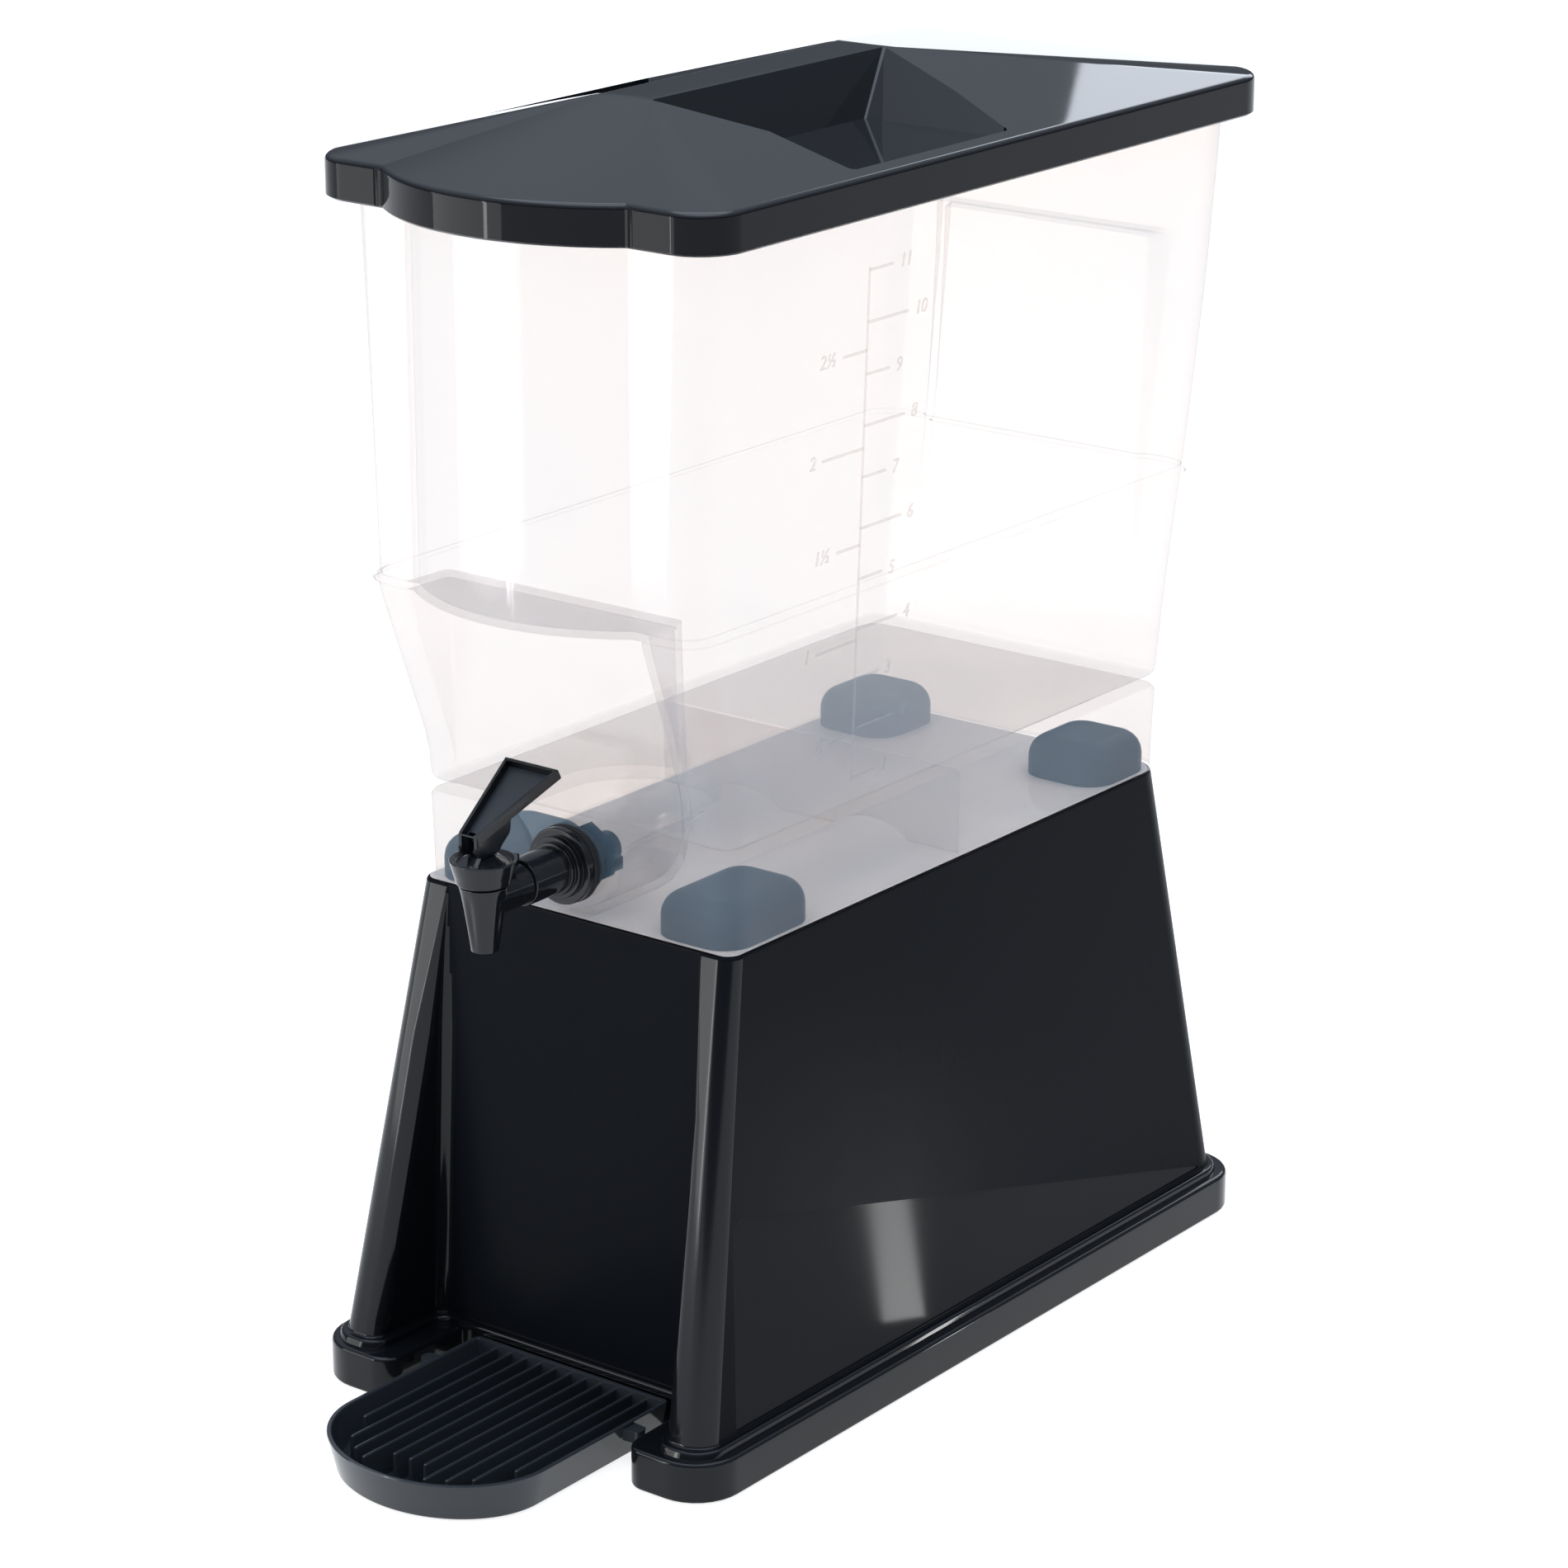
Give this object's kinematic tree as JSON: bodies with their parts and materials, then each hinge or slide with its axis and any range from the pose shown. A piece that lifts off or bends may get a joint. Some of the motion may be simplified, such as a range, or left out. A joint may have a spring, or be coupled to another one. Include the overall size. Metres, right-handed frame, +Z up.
{
  "type": "countertop beverage dispenser",
  "caption": "Countertop gravity beverage dispenser: translucent tank on a hollow base, with a lift-off roof-shaped lid, pull-out drip tray and self-closing lever tap.",
  "frame": {"origin": "centre of the object's bounding box at the worktop", "axes": "+Z up, -Y to the front where the tap is, +X to the right as seen from behind the tap"},
  "size_m": [0.205, 0.4634, 0.525],
  "materials": {
    "base_plastic": "black moulded plastic with a fine satin grain",
    "lid_plastic": "black moulded plastic, softly glossy",
    "tank_plastic": "milky translucent moulded plastic, smooth outside",
    "tap_plastic": "black moulded plastic with a soft gloss",
    "silicone": "natural silicone",
    "washer_rubber": "black rubber",
    "pin_steel": "plain stainless steel"
  },
  "bodies": {
    "base": {"base_shell": "base_plastic"},
    "tray": {"drip_tray": "base_plastic"},
    "tank": {"tank": "tank_plastic", "tap_body": "tap_plastic", "tap_shank": "tap_plastic", "tap_bonnet": "tap_plastic", "outer_washer": "washer_rubber", "inner_washer": "washer_rubber", "shank_nut": "tap_plastic"},
    "lid": {"lid": "lid_plastic"},
    "stem": {"tap_stem": "tap_plastic", "seat_cup": "silicone", "lever_pin": "pin_steel"},
    "lever": {"tap_lever": "tap_plastic"}
  },
  "joints": [
    {"name": "tank_lift", "type": "slide", "parent": "base", "child": "tank", "axis": [0, 0, 1], "range_m": [0, 0.08]},
    {"name": "lid_lift", "type": "slide", "parent": "tank", "child": "lid", "axis": [0, 0, 1], "range_m": [0, 0.08]},
    {"name": "tray_slide", "type": "slide", "parent": "base", "child": "tray", "axis": [0, -1, 0], "range_m": [0, 0.12]},
    {"name": "stem_lift", "type": "slide", "parent": "tank", "child": "stem", "axis": [0, 0, 1], "range_m": [0, 0.0041], "deforming": ["seat_cup"]},
    {"name": "lever_tilt", "type": "hinge", "parent": "stem", "child": "lever", "pos_m": [0, -0.161, 0.2534], "axis": [1, 0, 0], "range_deg": [0, 60], "stiffness_Nm_per_rad": 0.1, "springref_deg": -11.46}
  ],
  "couplings": [
    {"joint": "stem_lift", "follows": "lever_tilt", "m_per_rad": 0.00382}
  ]
}
